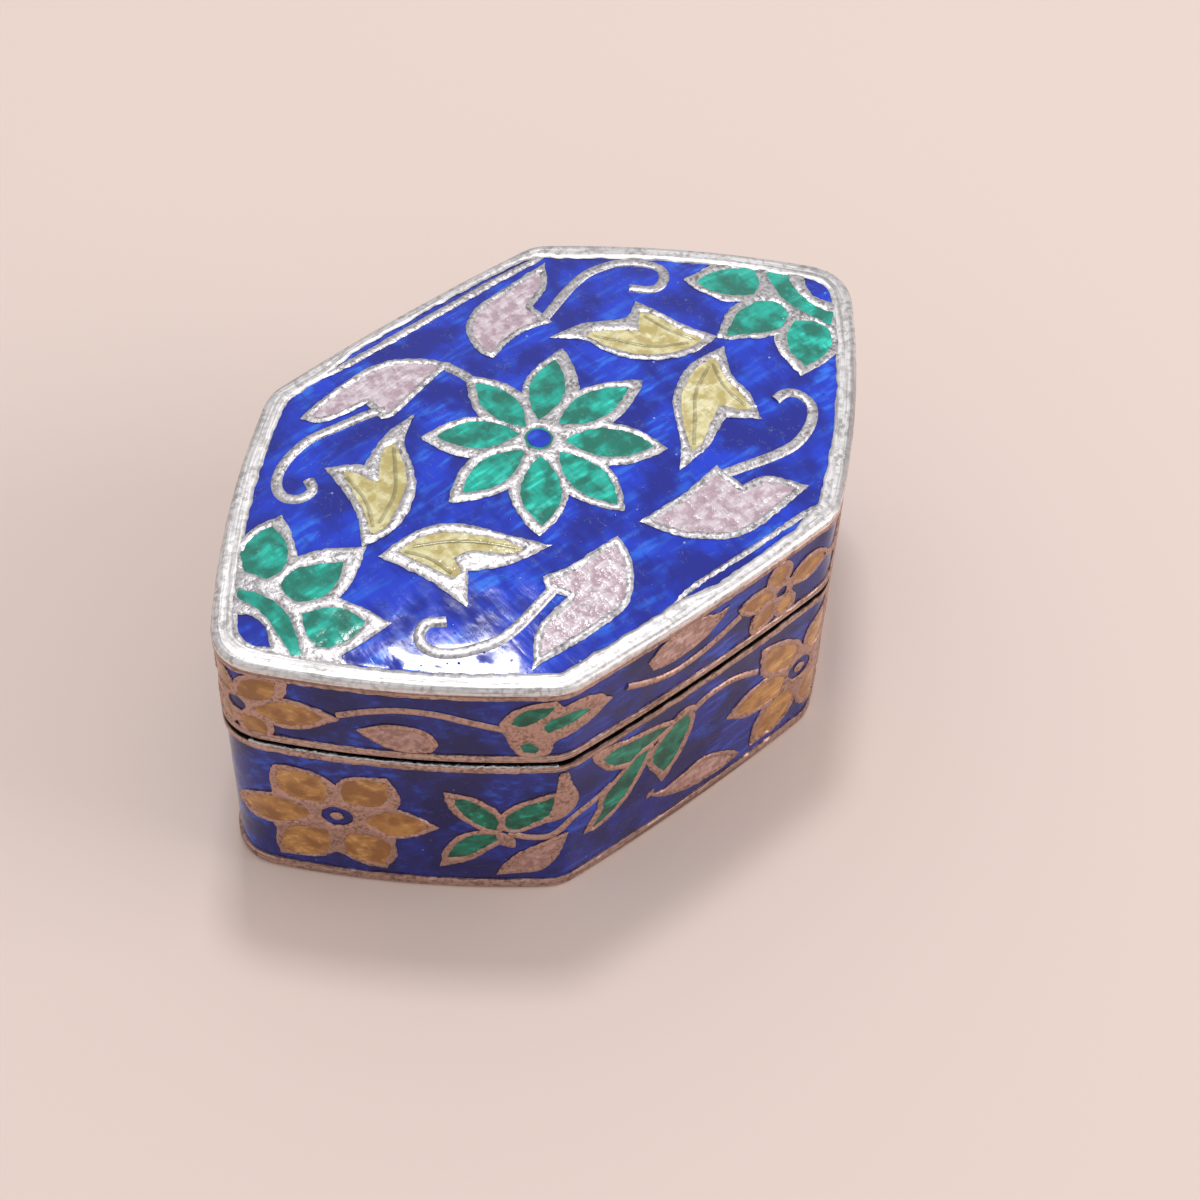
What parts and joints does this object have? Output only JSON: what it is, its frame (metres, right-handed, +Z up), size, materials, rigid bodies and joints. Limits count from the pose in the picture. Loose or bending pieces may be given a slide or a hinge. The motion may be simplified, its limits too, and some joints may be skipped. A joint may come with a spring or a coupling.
{
  "type": "cloisonne enamel box",
  "caption": "Small long hexagonal silver box with a slightly domed lift-off lid, covered in floral enamel cells between silver lines.",
  "frame": {"origin": "centre of the underside, where the box rests", "axes": "+Z up, +X along the box's length between its two tips, +Y across its width"},
  "size_m": [0.0416, 0.0256, 0.0193],
  "materials": {
    "silver": "bright silver, finely scratched",
    "cobalt_enamel": "glossy translucent enamel",
    "emerald_enamel": "glossy translucent enamel",
    "yellow_enamel": "semi-gloss enamel",
    "pink_enamel": "semi-gloss enamel"
  },
  "bodies": {
    "root": {"base_body": "silver", "lid_body": "silver", "base_side_enamel": "cobalt_enamel", "lid_side_enamel": "cobalt_enamel", "lid_top_ground": "cobalt_enamel", "flower_eye": "cobalt_enamel", "corner_heart_1": "cobalt_enamel", "corner_heart_2": "cobalt_enamel", "flower_petal_1": "emerald_enamel", "flower_petal_2": "emerald_enamel", "flower_petal_3": "emerald_enamel", "flower_petal_4": "emerald_enamel", "flower_petal_5": "emerald_enamel", "flower_petal_6": "emerald_enamel", "flower_petal_7": "emerald_enamel", "flower_petal_8": "emerald_enamel", "corner_petal_1": "emerald_enamel", "corner_petal_2": "emerald_enamel", "corner_petal_3": "emerald_enamel", "corner_petal_4": "emerald_enamel", "corner_petal_5": "emerald_enamel", "corner_petal_6": "emerald_enamel", "corner_arc_1": "emerald_enamel", "corner_arc_2": "emerald_enamel", "yellow_leaf_1": "yellow_enamel", "yellow_leaf_2": "yellow_enamel", "yellow_leaf_3": "yellow_enamel", "yellow_leaf_4": "yellow_enamel", "pink_leaf_1": "pink_enamel", "pink_leaf_2": "pink_enamel", "pink_leaf_3": "pink_enamel", "pink_leaf_4": "pink_enamel"}
  },
  "joints": []
}
